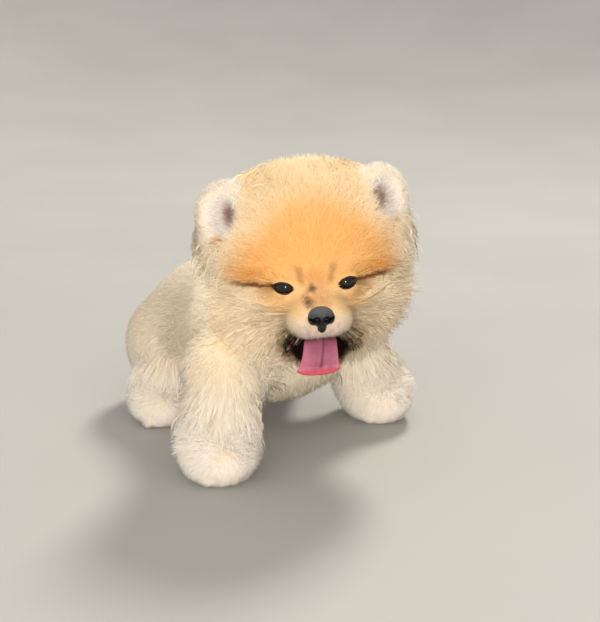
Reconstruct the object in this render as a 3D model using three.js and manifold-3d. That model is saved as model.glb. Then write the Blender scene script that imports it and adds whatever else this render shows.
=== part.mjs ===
// A Pomeranian puppy that steps towards the viewer with its head turned and its tongue out.
// Millimetres, +Z up, the floor at Z = 0, the nose towards -Y and the puppy's left towards +X.
import * as THREE from "three";
import { mergeVertices } from "three/addons/utils/BufferGeometryUtils.js";
import Module from "manifold-3d";

const wasm = await Module();
wasm.setup();

// Driving sizes
const headHeight = 114; // floor to the middle of the head
const headReach = 30; // middle of the head ahead of the shoulder line
const headYaw = -25; // the head looks to the puppy's right
const headRoll = -4; // the crown leans to the puppy's right
const hipY = 96; // shoulder line to hip line
const bodyWidth = 110; // across the coat of the trunk
const chestTop = 112; // top of the coat over the shoulders
const rumpTop = 97; // top of the coat over the hips
const eyeRadius = 6.2;
const lidThickness = 1.3;
const eyeAt = [16.2, -29, -4]; // the left eye, in the head's frame
const earAt = { left: [43.5, -2, 37], right: [-46, -2, 34] };
const noseAt = [0, -54, -16];
const pawAt = {
  foreleg_left: [68, -4],
  foreleg_right: [-62, -35],
  hindleg_left: [50, 100],
  hindleg_right: [-60, 62],
};
const gap = 0.35; // clearance between touching nodes

// The coat: a core part of the way out to the tips, and locks rooted in it that reach the tips
const coreShare = 0.48; // the core's share of the coat's depth, from the skin out
const overshoot = 1.02; // the tips pass the smooth outline a little, as its gaps fall short
const coatMargin = 0.6; // room round a node's outline for the corners of its locks
const lockRise = 3.2; // the ridge above a lock's line, and half as much below it
const lockSunk = 5; // how deep a lock's root is set in the core
const lockBulge = 0.24; // how far a lock bows out, as a share of its length
const lockVary = 0.24; // the spread between the smallest and the largest locks
const rootSearch = 40; // the thickest coat that a lock is rooted through
const lowestLock = 7; // no lock starts closer to the floor than this
const lowestTip = 1.5;
const earClearance = 2;
const furryFrom = 0.75; // the share of the full coat that a lock on the face needs

const vec = (x, y, z) => new THREE.Vector3(x, y, z);

// A frame at a place, turned about Z by yaw, then about its own X by pitch and its own Y by roll
function frameAt(place, [yaw, pitch, roll] = [0, 0, 0]) {
  const rad = THREE.MathUtils.degToRad;
  const turn = new THREE.Euler(rad(pitch), rad(roll), rad(yaw), "ZXY");
  return new THREE.Matrix4().makeRotationFromEuler(turn).setPosition(vec(...place));
}

const bodyFrame = new THREE.Matrix4();
const headFrame = frameAt([1, -headReach, headHeight], [headYaw, 0, headRoll]);
const headInverse = headFrame.clone().invert();
const inHead = (x, y, z) => vec(x, y, z).applyMatrix4(headFrame);

// An egg is an ellipsoid of three half sizes in a frame of its own, inside a parent frame
function egg(parent, centre, halfSizes, turn) {
  const frame = parent.clone().multiply(frameAt(centre, turn));
  return { half: vec(...halfSizes), frame, inverse: frame.clone().invert() };
}

// Two eggs that mirror each other across the middle of their parent frame
function pair(parent, [x, y, z], halfSizes, [yaw, pitch, roll] = [0, 0, 0]) {
  return [1, -1].map((s) => egg(parent, [s * x, y, z], halfSizes, [s * yaw, pitch, s * roll]));
}

// About how far a point is outside an egg, negative inside
function eggDistance(e, point) {
  const near = point.clone().applyMatrix4(e.inverse).divide(e.half);
  const scaled = near.length();
  const steep = near.divide(e.half).length();
  return steep < 1e-9 ? -e.half.x : (scaled * (scaled - 1)) / steep;
}

// A form is the smooth union of eggs, rounded over a blend width where they meet
const form = (blend, ...eggs) => ({ blend, eggs });

function formDistance({ blend, eggs }, point) {
  return eggs.reduce((d, e) => {
    const other = eggDistance(e, point);
    const near = Math.max(blend - Math.abs(d - other), 0) / blend;
    return Math.min(d, other) - (near * near * blend) / 4;
  }, Infinity);
}

// How far a form reaches from an origin in a direction
function reach(shape, origin, direction) {
  const farthest = 140;
  let inside = 0;
  let outside = farthest;
  const at = vec(0, 0, 0);
  for (let halving = 0; halving < 20; halving++) {
    const between = (inside + outside) / 2;
    at.copy(direction).multiplyScalar(between).add(origin);
    if (formDistance(shape, at) < 0) inside = between;
    else outside = between;
  }
  return inside;
}

// The way straight out of a form at a point
function outOf(shape, point) {
  const step = 0.5;
  const here = formDistance(shape, point);
  const steps = [vec(step, 0, 0), vec(0, step, 0), vec(0, 0, step)];
  return vec(...steps.map((d) => formDistance(shape, d.add(point)) - here)).normalize();
}

// A three.js geometry as a solid that can be joined and cut
function solidOf(geometry) {
  const bare = geometry.clone();
  bare.deleteAttribute("normal");
  bare.deleteAttribute("uv");
  const merged = mergeVertices(bare, 1e-4);
  const mesh = new wasm.Mesh({
    numProp: 3,
    vertProperties: merged.getAttribute("position").array,
    triVerts: new Uint32Array(merged.index.array),
  });
  return new wasm.Manifold(mesh);
}

function geometryOf(solid) {
  const mesh = solid.getMesh();
  const geometry = new THREE.BufferGeometry();
  geometry.setAttribute("position", new THREE.BufferAttribute(mesh.vertProperties, 3));
  geometry.setIndex(new THREE.BufferAttribute(mesh.triVerts, 1));
  geometry.computeVertexNormals();
  return geometry;
}

const cut = (solid, ...tools) => tools.reduce((a, b) => a.subtract(b), solid);

// Keeps only the largest closed surface of a solid
function largest(solid) {
  return solid.decompose().reduce((a, b) => (b.volume() > a.volume() ? b : a));
}

// A closed body round an origin with a radius for each direction.
// A bias draws its triangles towards one side, such as the face.
function wrapped(origin, radius, detail, bias = vec(0, 0, 0)) {
  const ball = new THREE.IcosahedronGeometry(1, detail);
  const corners = ball.getAttribute("position");
  for (let i = 0; i < corners.count; i++) {
    const direction = vec(0, 0, 0).fromBufferAttribute(corners, i).add(bias).normalize();
    const r = radius(direction);
    corners.setXYZ(i, ...direction.multiplyScalar(r).add(origin).toArray());
  }
  return solidOf(ball);
}

// An egg as a solid, grown by a clearance where it cuts its neighbour
function eggSolid(e, grow = 0, around = 14, high = 8) {
  const ball = new THREE.SphereGeometry(1, around, high);
  ball.rotateX(Math.PI / 2);
  ball.scale(e.half.x + grow, e.half.y + grow, e.half.z + grow);
  return solidOf(ball.applyMatrix4(e.frame));
}

// Seeded draws between 0 and 1
function draws(seed) {
  let state = seed;
  return () => {
    state = (state * 1664525 + 1013904223) % 4294967296;
    return state / 4294967296;
  };
}

// A lock is a flat tuft with a low ridge, widest before its middle and pointed at its tip,
// that bends along a line from its root in the core to the tips of the coat
function lock({ line, out, width }) {
  const rootLeaf = 0.12; // how much of its rise from nothing a lock has behind it at its root
  const widthOfThreeSides = Math.sqrt(3);
  const tuft = new THREE.ConeGeometry(1, 1, 3, 3);
  const corners = tuft.getAttribute("position");
  for (let i = 0; i < corners.count; i++) {
    const t = corners.getY(i) + 0.5;
    const taper = Math.max(1 - t, 1e-6);
    const leaf = Math.sin(Math.PI * THREE.MathUtils.lerp(rootLeaf, 1, t)) / taper;
    const way = line.getTangent(t);
    const side = way.clone().cross(out).normalize();
    const up = side.clone().cross(way);
    const at = line.getPoint(t);
    at.addScaledVector(side, (corners.getX(i) * leaf * width) / widthOfThreeSides);
    at.addScaledVector(up, corners.getZ(i) * leaf * lockRise);
    corners.setXYZ(i, at.x, at.y, at.z);
  }
  return solidOf(tuft);
}

// Where a lock's root lies: straight in from the tips until it is in the core, and then sunk
function rootOf(top, out, origin, core) {
  const root = top.clone();
  for (let depth = 0; depth < rootSearch; depth++) {
    const way = root.clone().sub(origin);
    if (way.length() < core(way.clone().normalize())) return root.addScaledVector(out, -lockSunk);
    root.addScaledVector(out, -1);
  }
  return null;
}

// Spreads locks evenly over the tips of a coat, each swept along the lie of the coat
function spread({ origin, core, tips, lie, keep, spacing, sweep, width, seed }) {
  const tries = 2600;
  const draw = draws(seed);
  const found = [];
  const onTips = (way) => way.clone().multiplyScalar(reach(tips, origin, way) * overshoot).add(origin);
  for (let i = 0; i < tries; i++) {
    const way = vec(draw() - 0.5, draw() - 0.5, draw() - 0.5).normalize();
    const vary = 1 + lockVary * (draw() - 0.5);
    const sway = draw() - 0.5;
    const top = onTips(way);
    if (found.some((other) => other.top.distanceTo(top) < spacing * vary) || !keep(top)) continue;
    const out = outOf(tips, top);
    const along = lie(top);
    along.addScaledVector(out, -along.dot(out)).normalize();
    along.addScaledVector(out.clone().cross(along), sway).normalize();
    const tip = onTips(top.clone().addScaledVector(along, sweep * vary).sub(origin).normalize());
    tip.z = Math.max(tip.z, lowestTip);
    const root = rootOf(top, out, origin, core);
    if (!root) continue;
    const bow = root.clone().lerp(tip, 0.5).addScaledVector(out, lockBulge * root.distanceTo(tip));
    found.push({ top, line: new THREE.QuadraticBezierCurve3(root, bow, tip), out, width: width * vary });
  }
  return found;
}

// Everything under the floor, which leaves flat soles
const underFloor = solidOf(new THREE.BoxGeometry(600, 600, 100).translate(0, 0, -50));

// Each node is cut clear of those made before it, by the gap
const puppy = new THREE.Group();
const taken = [underFloor];
function node(name, make, colour, roughness = 0.9) {
  const solid = largest(cut(make(0), ...taken));
  taken.push(make(gap).add(solid));
  const material = new THREE.MeshStandardMaterial({ color: colour, roughness, metalness: 0 });
  const mesh = new THREE.Mesh(geometryOf(solid), material);
  mesh.name = name;
  puppy.add(mesh);
}

const orange = 0xe8b070;
const cream = 0xdcc8a4;
const pale = 0xd8ccb8;
const sides = { left: 1, right: -1 };

// Eyes, each a ball, with the lids as a second ball in the head that an almond prism opens
const eyeEgg = (s, r) => egg(headFrame, [s * eyeAt[0], eyeAt[1], eyeAt[2]], [r, r, r]);
for (const [side, s] of Object.entries(sides)) {
  node("eye_" + side, (grow) => eggSolid(eyeEgg(s, eyeRadius), grow), 0x140e0a, 0.1);
}

const lidBall = (s) => eggSolid(eyeEgg(s, eyeRadius + lidThickness));
function lidOpening(s) {
  const half = 5.9; // from the middle to either corner of the eye
  const tilt = 0.7; // the outer corner is higher than the inner one
  const shape = new THREE.Shape();
  shape.moveTo(-s * half, -tilt);
  shape.quadraticCurveTo(0, 5.4, s * half, tilt);
  shape.quadraticCurveTo(s * 0.5, -5.8, -s * half, -tilt);
  const prism = new THREE.ExtrudeGeometry(shape, { depth: 26, bevelEnabled: false, curveSegments: 6 });
  prism.rotateX(Math.PI / 2);
  const [x, y, z] = eyeAt;
  return solidOf(prism.applyMatrix4(headFrame.clone().multiply(frameAt([s * x, y, z], [s * 12, 0, 0]))));
}

// Nose, with a nostril each side
const noseForm = form(
  3,
  egg(headFrame, noseAt, [7, 5.5, 5.4]),
  egg(headFrame, [0, noseAt[1] + 0.5, noseAt[2] - 4.5], [3.8, 4.5, 4]),
);
const noseOrigin = inHead(...noseAt);
const nostrils = pair(headFrame, [3.5, noseAt[1] - 5.5, noseAt[2] - 1], [1.5, 3.2, 1.3], [25, 0, 0]);
const nose = (grow) => {
  const ball = wrapped(noseOrigin, (way) => reach(noseForm, noseOrigin, way) + grow, 2);
  return grow ? ball : cut(ball, ...nostrils.map((e) => eggSolid(e, 0, 8, 6)));
};
node("nose", nose, 0x222224, 0.35);

// Tongue, a strip bent along a line in the middle of the head, wider and cupped towards its tip
const tongueLine = new THREE.CatmullRomCurve3([
  vec(0, -22, -34),
  vec(0, -40, -32),
  vec(-1, -51, -32),
  vec(-2, -56, -37),
  vec(-3, -56, -43),
  vec(-3.5, -59, -47),
]);
function tongue(grow) {
  const strip = new THREE.BoxGeometry(2, 1, 1, 4, 9, 1);
  const corners = strip.getAttribute("position");
  for (let i = 0; i < corners.count; i++) {
    const across = corners.getX(i);
    const along = corners.getY(i) + 0.5;
    const at = tongueLine.getPoint(along);
    const way = tongueLine.getTangent(along);
    const halfWidth = 8.5 + 4.6 * along * along + grow;
    const thick = (3.6 - 1.6 * along) * (1 - 0.4 * across * across) + 2 * grow;
    const cup = -1.3 * (1 - across * across);
    at.addScaledVector(vec(0, way.z, -way.y), corners.getZ(i) * thick + cup);
    corners.setXYZ(i, at.x - across * halfWidth, at.y, at.z);
  }
  return solidOf(strip.applyMatrix4(headFrame));
}
node("tongue", tongue, 0xc06a80, 0.4);

// Lower jaw, dropped open under the mouth
const mouth = eggSolid(egg(headFrame, [0, -31, -32], [20, 22, 6.5]), 0, 16, 8);
const jawFrame = headFrame.clone().multiply(frameAt([0, -6, -30], [0, 20, 0]));
const jawForm = form(4, egg(jawFrame, [0, -20, -5], [15, 21, 7]), egg(jawFrame, [0, -34, -4], [9, 8, 6]));
const jawOrigin = vec(0, -20, -5).applyMatrix4(jawFrame);
const jaw = (grow) => wrapped(jawOrigin, (way) => reach(jawForm, jawOrigin, way) + grow, 3);
node("lower_jaw", (grow) => (grow ? jaw(grow) : cut(jaw(0), mouth)), cream);

// Ears, round cups that open forward
const earTurn = (s) => [s * 20, -8, s * 22];
function earEggs(side) {
  const earFrame = headFrame.clone().multiply(frameAt(earAt[side], earTurn(sides[side])));
  return {
    outside: egg(earFrame, [0, 0, 0], [19, 10.5, 20]),
    hollow: egg(earFrame, [0, -8, 1], [12, 9, 14]),
    front: egg(earFrame, [0, -14, 1], [15, 12, 17]), // kept clear of the head's coat
  };
}
for (const side of Object.keys(sides)) {
  const { outside, hollow } = earEggs(side);
  const cup = (grow) => (grow ? eggSolid(outside, grow) : cut(eggSolid(outside), eggSolid(hollow)));
  node("ear_" + side, cup, pale);
}

// Head
const headFlesh = form(
  9,
  egg(headFrame, [0, 3, 8], [30, 33, 30]),
  egg(headFrame, [0, -17, -5], [25, 22, 18]),
  egg(headFrame, [0, -38, -17], [12, 17, 9.5]),
  ...pair(headFrame, [7, -42, -21], [8.5, 12, 7.5]),
  ...pair(headFrame, [17, -14, -17], [13, 17, 14]),
);
const headCoat = form(
  14,
  egg(headFrame, [0, 5, 21], [56, 47, 43]),
  egg(headFrame, [-2, 12, 14], [66, 38, 36]),
  egg(headFrame, [0, 3, -12], [67, 43, 40]),
  egg(headFrame, [0, -16, 17], [40, 30, 25]),
  egg(headFrame, [0, -8, -34], [46, 36, 29]),
);

// The coat's share of its full depth over the face, which is none round the eyes and on the muzzle
function faceShare(point) {
  const p = point.clone().applyMatrix4(headInverse);
  const fade = (d, over) => THREE.MathUtils.smoothstep(d, 0, over);
  const browDepth = 5; // the coat grows deep over this much above the eye
  const cheekDepth = 13; // and over this much below it and round the muzzle
  const eyeFar = Math.hypot((Math.abs(p.x) - eyeAt[0]) / 1.25, p.z - eyeAt[2]) - eyeRadius;
  const muzzleFar = (Math.hypot(p.x / 16, (p.z + 29) / 18) - 1) * 17;
  const bare = fade(eyeFar, p.z > eyeAt[2] ? browDepth : cheekDepth) * fade(muzzleFar, cheekDepth);
  return THREE.MathUtils.lerp(1, bare, fade(-8 - p.y, 10));
}

// Neck
const neckCoat = form(10, egg(bodyFrame, [0, 2, 84], [61, 38, 49]));
const neckFlesh = form(10, egg(bodyFrame, [0, 0, 86], [32, 26, 36]));

// Torso
const chestZ = 66;
const bellyZ = 61;
const rumpZ = 53;
const halfBody = bodyWidth / 2;
const torsoCoat = form(
  20,
  egg(bodyFrame, [0, 10, chestZ], [halfBody, 46, chestTop - chestZ]),
  egg(bodyFrame, [0, 55, bellyZ], [halfBody - 2, 60, 43]),
  egg(bodyFrame, [0, hipY, rumpZ], [halfBody - 2, 44, rumpTop - rumpZ]),
);
const torsoFlesh = form(
  20,
  egg(bodyFrame, [0, 12, chestZ], [halfBody - 21, 38, 33]),
  egg(bodyFrame, [0, 55, bellyZ], [halfBody - 24, 46, 29]),
  egg(bodyFrame, [0, hipY - 4, rumpZ], [halfBody - 23, 34, 30]),
);

// Legs: a shaft or thigh and a paw
function legForms(name) {
  const [x, y] = pawAt[name];
  const s = Math.sign(x);
  const fore = name.startsWith("fore");
  const top = fore ? [x - s * 12, y + 14, 54] : [s * 42, hipY - 6, 42];
  const coat = fore
    ? form(10, egg(bodyFrame, top, [26, 29, 34]), egg(bodyFrame, [x, y, 19], [27, 31, 24]))
    : form(10, egg(bodyFrame, top, [28, 37, 34]), egg(bodyFrame, [x, y, 14], [22, 28, 18]));
  const flesh = fore
    ? form(8, egg(bodyFrame, top, [13, 15, 24]), egg(bodyFrame, [x, y - 2, 10], [14, 20, 14]))
    : form(8, egg(bodyFrame, top, [15, 24, 22]), egg(bodyFrame, [x, y - 2, 9], [12, 19, 12]));
  return { origin: vec(x * 0.95, y + 4, 30), coat, flesh };
}

// Tail, curled up and forward over the rump
const tailCoat = form(
  8,
  egg(bodyFrame, [8, 128, 86], [14, 15, 16]),
  egg(bodyFrame, [20, 124, 100], [15, 17, 15]),
  egg(bodyFrame, [33, 106, 104], [15, 20, 14]),
);
const tailFlesh = form(
  8,
  egg(bodyFrame, [7, 124, 86], [6, 8, 10]),
  egg(bodyFrame, [20, 122, 98], [7, 7, 7]),
  egg(bodyFrame, [32, 108, 102], [6, 10, 6]),
);

// Each coat lies away from the bridge of the nose on the head, back on the ruff and the trunk,
// down on the legs and along the tail. Its core is warped round its origin.
const stop = inHead(0, -46, 0);
const headLie = (p) => p.clone().sub(stop).normalize().add(vec(0, 0.2, -0.25));
const coats = {
  head: { origin: inHead(0, -8, -4), flesh: headFlesh, tips: headCoat, face: faceShare, lie: headLie,
    spacing: 21.8, sweep: 27, width: 25, seed: 12 },
  neck: { origin: vec(0, 2, 86), flesh: neckFlesh, tips: neckCoat,
    lie: (p) => vec(p.x / 60, 1, (p.z - 100) / 70),
    spacing: 24, sweep: 25, width: 28, seed: 5 },
  torso: { origin: vec(0, 52, 60), flesh: torsoFlesh, tips: torsoCoat,
    lie: (p) => vec(0, p.y < 0 ? 0 : 1, -0.7),
    spacing: 27, sweep: 27, width: 32, seed: 7 },
  tail: { origin: vec(21, 119, 97), flesh: tailFlesh, tips: tailCoat,
    lie: () => vec(0.6, -1, 0.2),
    spacing: 20, sweep: 20, width: 22, seed: 3 },
};
for (const [i, name] of Object.keys(pawAt).entries()) {
  const { origin, coat, flesh } = legForms(name);
  coats[name] = { origin, flesh, tips: coat, lie: () => vec(0, 0.15, -1),
    spacing: 22, sweep: 20, width: 24, seed: 20 + i };
}

// A core fills out to the tips only where it is hidden in its neighbours, so that they meet there
function coreOf({ origin, flesh, tips, face }, others) {
  const hiddenBy = 12; // how deep inside a neighbour's outline a core is full
  return (way) => {
    const skin = reach(flesh, origin, way);
    const outer = Math.max(reach(tips, origin, way), skin + 1);
    const top = way.clone().multiplyScalar(outer).add(origin);
    const depth = Math.max(...others.map((other) => -formDistance(other.tips, top)));
    const share = THREE.MathUtils.lerp(coreShare, 1, THREE.MathUtils.smoothstep(depth, 0, hiddenBy));
    return skin + (outer - skin) * share * (face ? face(top) : 1);
  };
}

const earShapes = Object.keys(sides).flatMap((side) => [earEggs(side).outside, earEggs(side).front]);
for (const [name, coat] of Object.entries(coats)) {
  const others = Object.keys(coats).filter((other) => other !== name).map((other) => coats[other]);
  coat.core = coreOf(coat, others);
  coat.keep = (p) =>
    p.z > lowestLock &&
    (!coat.face || coat.face(p) > furryFrom) &&
    earShapes.every((e) => eggDistance(e, p) > earClearance) &&
    others.every((other) => formDistance(other.tips, p) > -1);
  coat.locks = spread(coat);
}

// A node's core with its locks joined to it. What it takes from its neighbours is its smooth outline.
const furred = ({ origin, core, tips, locks }, detail, bias) => (grow) => {
  const outline = (way) => reach(tips, origin, way) * overshoot + coatMargin + grow;
  if (grow) return wrapped(origin, outline, detail + 1, bias);
  return locks.reduce((body, each) => body.add(lock(each)), wrapped(origin, core, detail, bias));
};

const faceBias = vec(0, -0.4, -0.05).transformDirection(headFrame).multiplyScalar(0.4);
const philtrum = eggSolid(egg(headFrame, [0, -59, -24], [0.7, 6, 5]), 0, 8, 6);
const openings = Object.entries(sides).flatMap(([side, s]) => [
  lidOpening(s),
  eggSolid(earEggs(side).front, 0, 12, 8),
]);
const headBody = furred(coats.head, 6, faceBias);
const head = (grow) =>
  grow ? headBody(grow) : cut(headBody(0).add(lidBall(1)).add(lidBall(-1)), ...openings, mouth, philtrum);
node("head", head, orange);
node("neck", furred(coats.neck, 3), cream);
node("torso", furred(coats.torso, 4), cream);
for (const name of Object.keys(pawAt)) node(name, furred(coats[name], 3), pale);
node("tail", furred(coats.tail, 2), cream);

// The origin is on the floor under the middle of the whole puppy
const middle = new THREE.Box3().setFromObject(puppy, true).getCenter(vec(0, 0, 0));
puppy.position.set(-middle.x, -middle.y, 0);

export default puppy;
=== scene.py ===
import math
import bmesh
import bpy
import numpy as np
from mathutils import Matrix, Vector
from mathutils.kdtree import KDTree


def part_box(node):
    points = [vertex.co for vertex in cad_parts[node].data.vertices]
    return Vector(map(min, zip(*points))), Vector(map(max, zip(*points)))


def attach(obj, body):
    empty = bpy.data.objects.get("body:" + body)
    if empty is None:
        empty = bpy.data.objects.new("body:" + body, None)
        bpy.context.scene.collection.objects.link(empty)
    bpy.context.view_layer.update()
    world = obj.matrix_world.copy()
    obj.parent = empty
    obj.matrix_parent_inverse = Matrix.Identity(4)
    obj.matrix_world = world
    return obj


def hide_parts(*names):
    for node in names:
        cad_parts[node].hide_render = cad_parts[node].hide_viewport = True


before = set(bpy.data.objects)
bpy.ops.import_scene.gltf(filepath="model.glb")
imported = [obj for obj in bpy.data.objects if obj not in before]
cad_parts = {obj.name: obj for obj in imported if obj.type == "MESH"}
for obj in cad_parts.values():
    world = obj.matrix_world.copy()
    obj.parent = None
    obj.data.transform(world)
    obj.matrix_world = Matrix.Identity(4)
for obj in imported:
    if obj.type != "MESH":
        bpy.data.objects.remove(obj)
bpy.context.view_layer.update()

mm = 0.001
rng = np.random.default_rng(20)

# the same driving sizes as the solids, in millimetres, nose towards -Y, the puppy's left towards +X
body = {
    "headAt": (1, -30, 114), "headTurn": (-25, 0, -4), "hipY": 96, "chestZ": 66, "bellyZ": 61, "rumpZ": 53,
    "paws": {"foreleg_left": (68, -4), "foreleg_right": (-62, -35),
             "hindleg_left": (50, 100), "hindleg_right": (-60, 62)},
}
face = {
    "eyeAt": (16.2, -29, -4), "eyeRadius": 6.2, "lid": 1.3, "noseAt": (0, -54, -16),
    "earAt": {1: (41.5, -2, 35.5), -1: (-44, -2, 32.5)}, "lidHalf": 5.9, "lidTilt": 0.7, "lidHigh": 5.2,
    "lidLow": -4.9, "stop": (0, -46, 0),
}


def frameAt(place, turn=(0, 0, 0)):
    yaw, pitch, roll = (math.radians(a) for a in turn)
    spin = Matrix.Rotation(yaw, 4, "Z") @ Matrix.Rotation(pitch, 4, "X") @ Matrix.Rotation(roll, 4, "Y")
    return Matrix.Translation(Vector(place)) @ spin


bodyFrame = Matrix.Identity(4)
headFrame = frameAt(body["headAt"], body["headTurn"])
jawFrame = headFrame @ frameAt((0, -6, -30), (0, 20, 0))
eyeMiddle = (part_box("eye_left")[0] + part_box("eye_left")[1]) / 2 / mm
shift = eyeMiddle - headFrame @ Vector(face["eyeAt"])
shift.z = 0  # from the sizes' own origin to the part's, on the floor


def earFrame(s):
    return headFrame @ frameAt(face["earAt"][s], (s * 20, -8, s * 22))


# eggs are ellipsoids, and a form is their smooth union
def egg(parent, centre, half, turn=(0, 0, 0)):
    matrix = parent @ frameAt(centre, turn)
    return {"matrix": matrix, "inverse": np.array(matrix.inverted()), "half": np.array(half, float)}


def pair(parent, centre, half, turn=(0, 0, 0)):
    x, y, z = centre
    yaw, pitch, roll = turn
    return [egg(parent, (s * x, y, z), half, (s * yaw, pitch, s * roll)) for s in (1, -1)]


def within(inverse, points):
    return points @ inverse[:3, :3].T + inverse[:3, 3]


def eggDistance(e, points):
    near = within(e["inverse"], points) / e["half"]
    scaled = np.linalg.norm(near, axis=1)
    steep = np.linalg.norm(near / e["half"], axis=1) + 1e-9
    return scaled * (scaled - 1) / steep


def blendMin(a, b, width):
    near = np.clip(width - np.abs(a - b), 0, None) / width
    return np.minimum(a, b) - near * near * width / 4


def formDistance(form, points):
    result = eggDistance(form["eggs"][0], points)
    for e in form["eggs"][1:]:
        result = blendMin(result, eggDistance(e, points), form["blend"])
    return result


def smooth(value, start, end):
    t = np.clip((value - start) / (end - start), 0, 1)
    return t * t * (3 - 2 * t)


def unit(v):
    return v / (np.linalg.norm(v, axis=-1, keepdims=True) + 1e-9)


def form(blend, *eggs):
    return {"blend": blend, "eggs": eggs}


def linked(name, data):
    made = bpy.data.objects.new(name, data)
    bpy.context.scene.collection.objects.link(made)
    return made


def meshOf(bm, name):
    mesh = bpy.data.meshes.new(name)
    bm.to_mesh(mesh)
    bm.free()
    return mesh


flesh = {
    "head": form(9, egg(headFrame, (0, 3, 8), (30, 33, 30)), egg(headFrame, (0, -17, -5), (25, 22, 18)),
                 egg(headFrame, (0, -38, -17), (12, 17, 9.5)),
                 *pair(headFrame, (7, -42, -21), (8.5, 12, 7.5)),
                 *pair(headFrame, (17, -14, -17), (13, 17, 14))),
    "jaw": form(4, egg(jawFrame, (0, -20, -5), (15, 21, 7)), egg(jawFrame, (0, -34, -4), (9, 8, 6))),
    "neck": form(10, egg(bodyFrame, (0, 0, 86), (32, 26, 36))),
    "torso": form(20, egg(bodyFrame, (0, 12, body["chestZ"]), (34, 38, 33)),
                  egg(bodyFrame, (0, 55, body["bellyZ"]), (31, 46, 29)),
                  egg(bodyFrame, (0, body["hipY"] - 4, body["rumpZ"]), (32, 34, 30))),
    "tail": form(8, egg(bodyFrame, (7, 124, 86), (6, 8, 10)), egg(bodyFrame, (20, 122, 98), (7, 7, 7)),
                 egg(bodyFrame, (32, 108, 102), (6, 10, 6))),
}
coat = {
    "head": form(14, egg(headFrame, (0, 5, 21), (56, 47, 43)), egg(headFrame, (-1, 12, 14), (67, 38, 36)),
                 egg(headFrame, (1, 3, -12), (69, 43, 40)),
                 egg(headFrame, (0, -16, 17), (40, 30, 25)), egg(headFrame, (0, -8, -34), (46, 36, 29))),
    "neck": form(10, egg(bodyFrame, (0, 2, 84), (61, 38, 49))),
    "torso": form(20, egg(bodyFrame, (0, 10, body["chestZ"]), (55, 46, 46)),
                  egg(bodyFrame, (0, 55, body["bellyZ"]), (53, 60, 43)),
                  egg(bodyFrame, (0, body["hipY"], body["rumpZ"]), (53, 44, 44))),
    "tail": form(8, egg(bodyFrame, (8, 128, 86), (14, 15, 16)), egg(bodyFrame, (20, 124, 100), (15, 17, 15)),
                 egg(bodyFrame, (33, 106, 104), (15, 20, 14))),
}
origins = {"head": headFrame @ Vector((0, -8, -4)), "jaw": jawFrame @ Vector((0, -20, -5)),
           "neck": Vector((0, 2, 86)), "torso": Vector((0, 52, 60)), "tail": Vector((21, 119, 97))}
for leg, (x, y) in body["paws"].items():
    s = math.copysign(1, x)
    fore = leg.startswith("fore")
    top = (x - s * 12, y + 14, 54) if fore else (s * 42, body["hipY"] - 6, 42)
    if fore:
        flesh[leg] = form(8, egg(bodyFrame, top, (13, 15, 24)), egg(bodyFrame, (x, y - 2, 10), (14, 20, 14)))
        coat[leg] = form(10, egg(bodyFrame, top, (26, 29, 34)), egg(bodyFrame, (x, y, 19), (27, 31, 24)))
    else:
        flesh[leg] = form(8, egg(bodyFrame, top, (15, 24, 22)), egg(bodyFrame, (x, y - 2, 9), (12, 19, 12)))
        coat[leg] = form(10, egg(bodyFrame, top, (28, 37, 34)), egg(bodyFrame, (x, y, 14), (22, 28, 18)))
    origins[leg] = Vector((x * 0.95, y + 4, 30))
for side, s in (("left", 1), ("right", -1)):
    flesh["ear_" + side] = form(1, egg(earFrame(s), (0, 0, 0), (14.5, 6.5, 15.5)))
    coat["ear_" + side] = form(1, egg(earFrame(s), (0, 0, 0), (20.5, 13, 22)))
    origins["ear_" + side] = earFrame(s) @ Vector((0, 0, 0))
earHollow = [egg(earFrame(s), (0, -6.5, 1), (11, 7, 12.5)) for s in (1, -1)]
mouthEgg = egg(headFrame, (0, -31, -32), (20, 22, 6.5))


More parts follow.
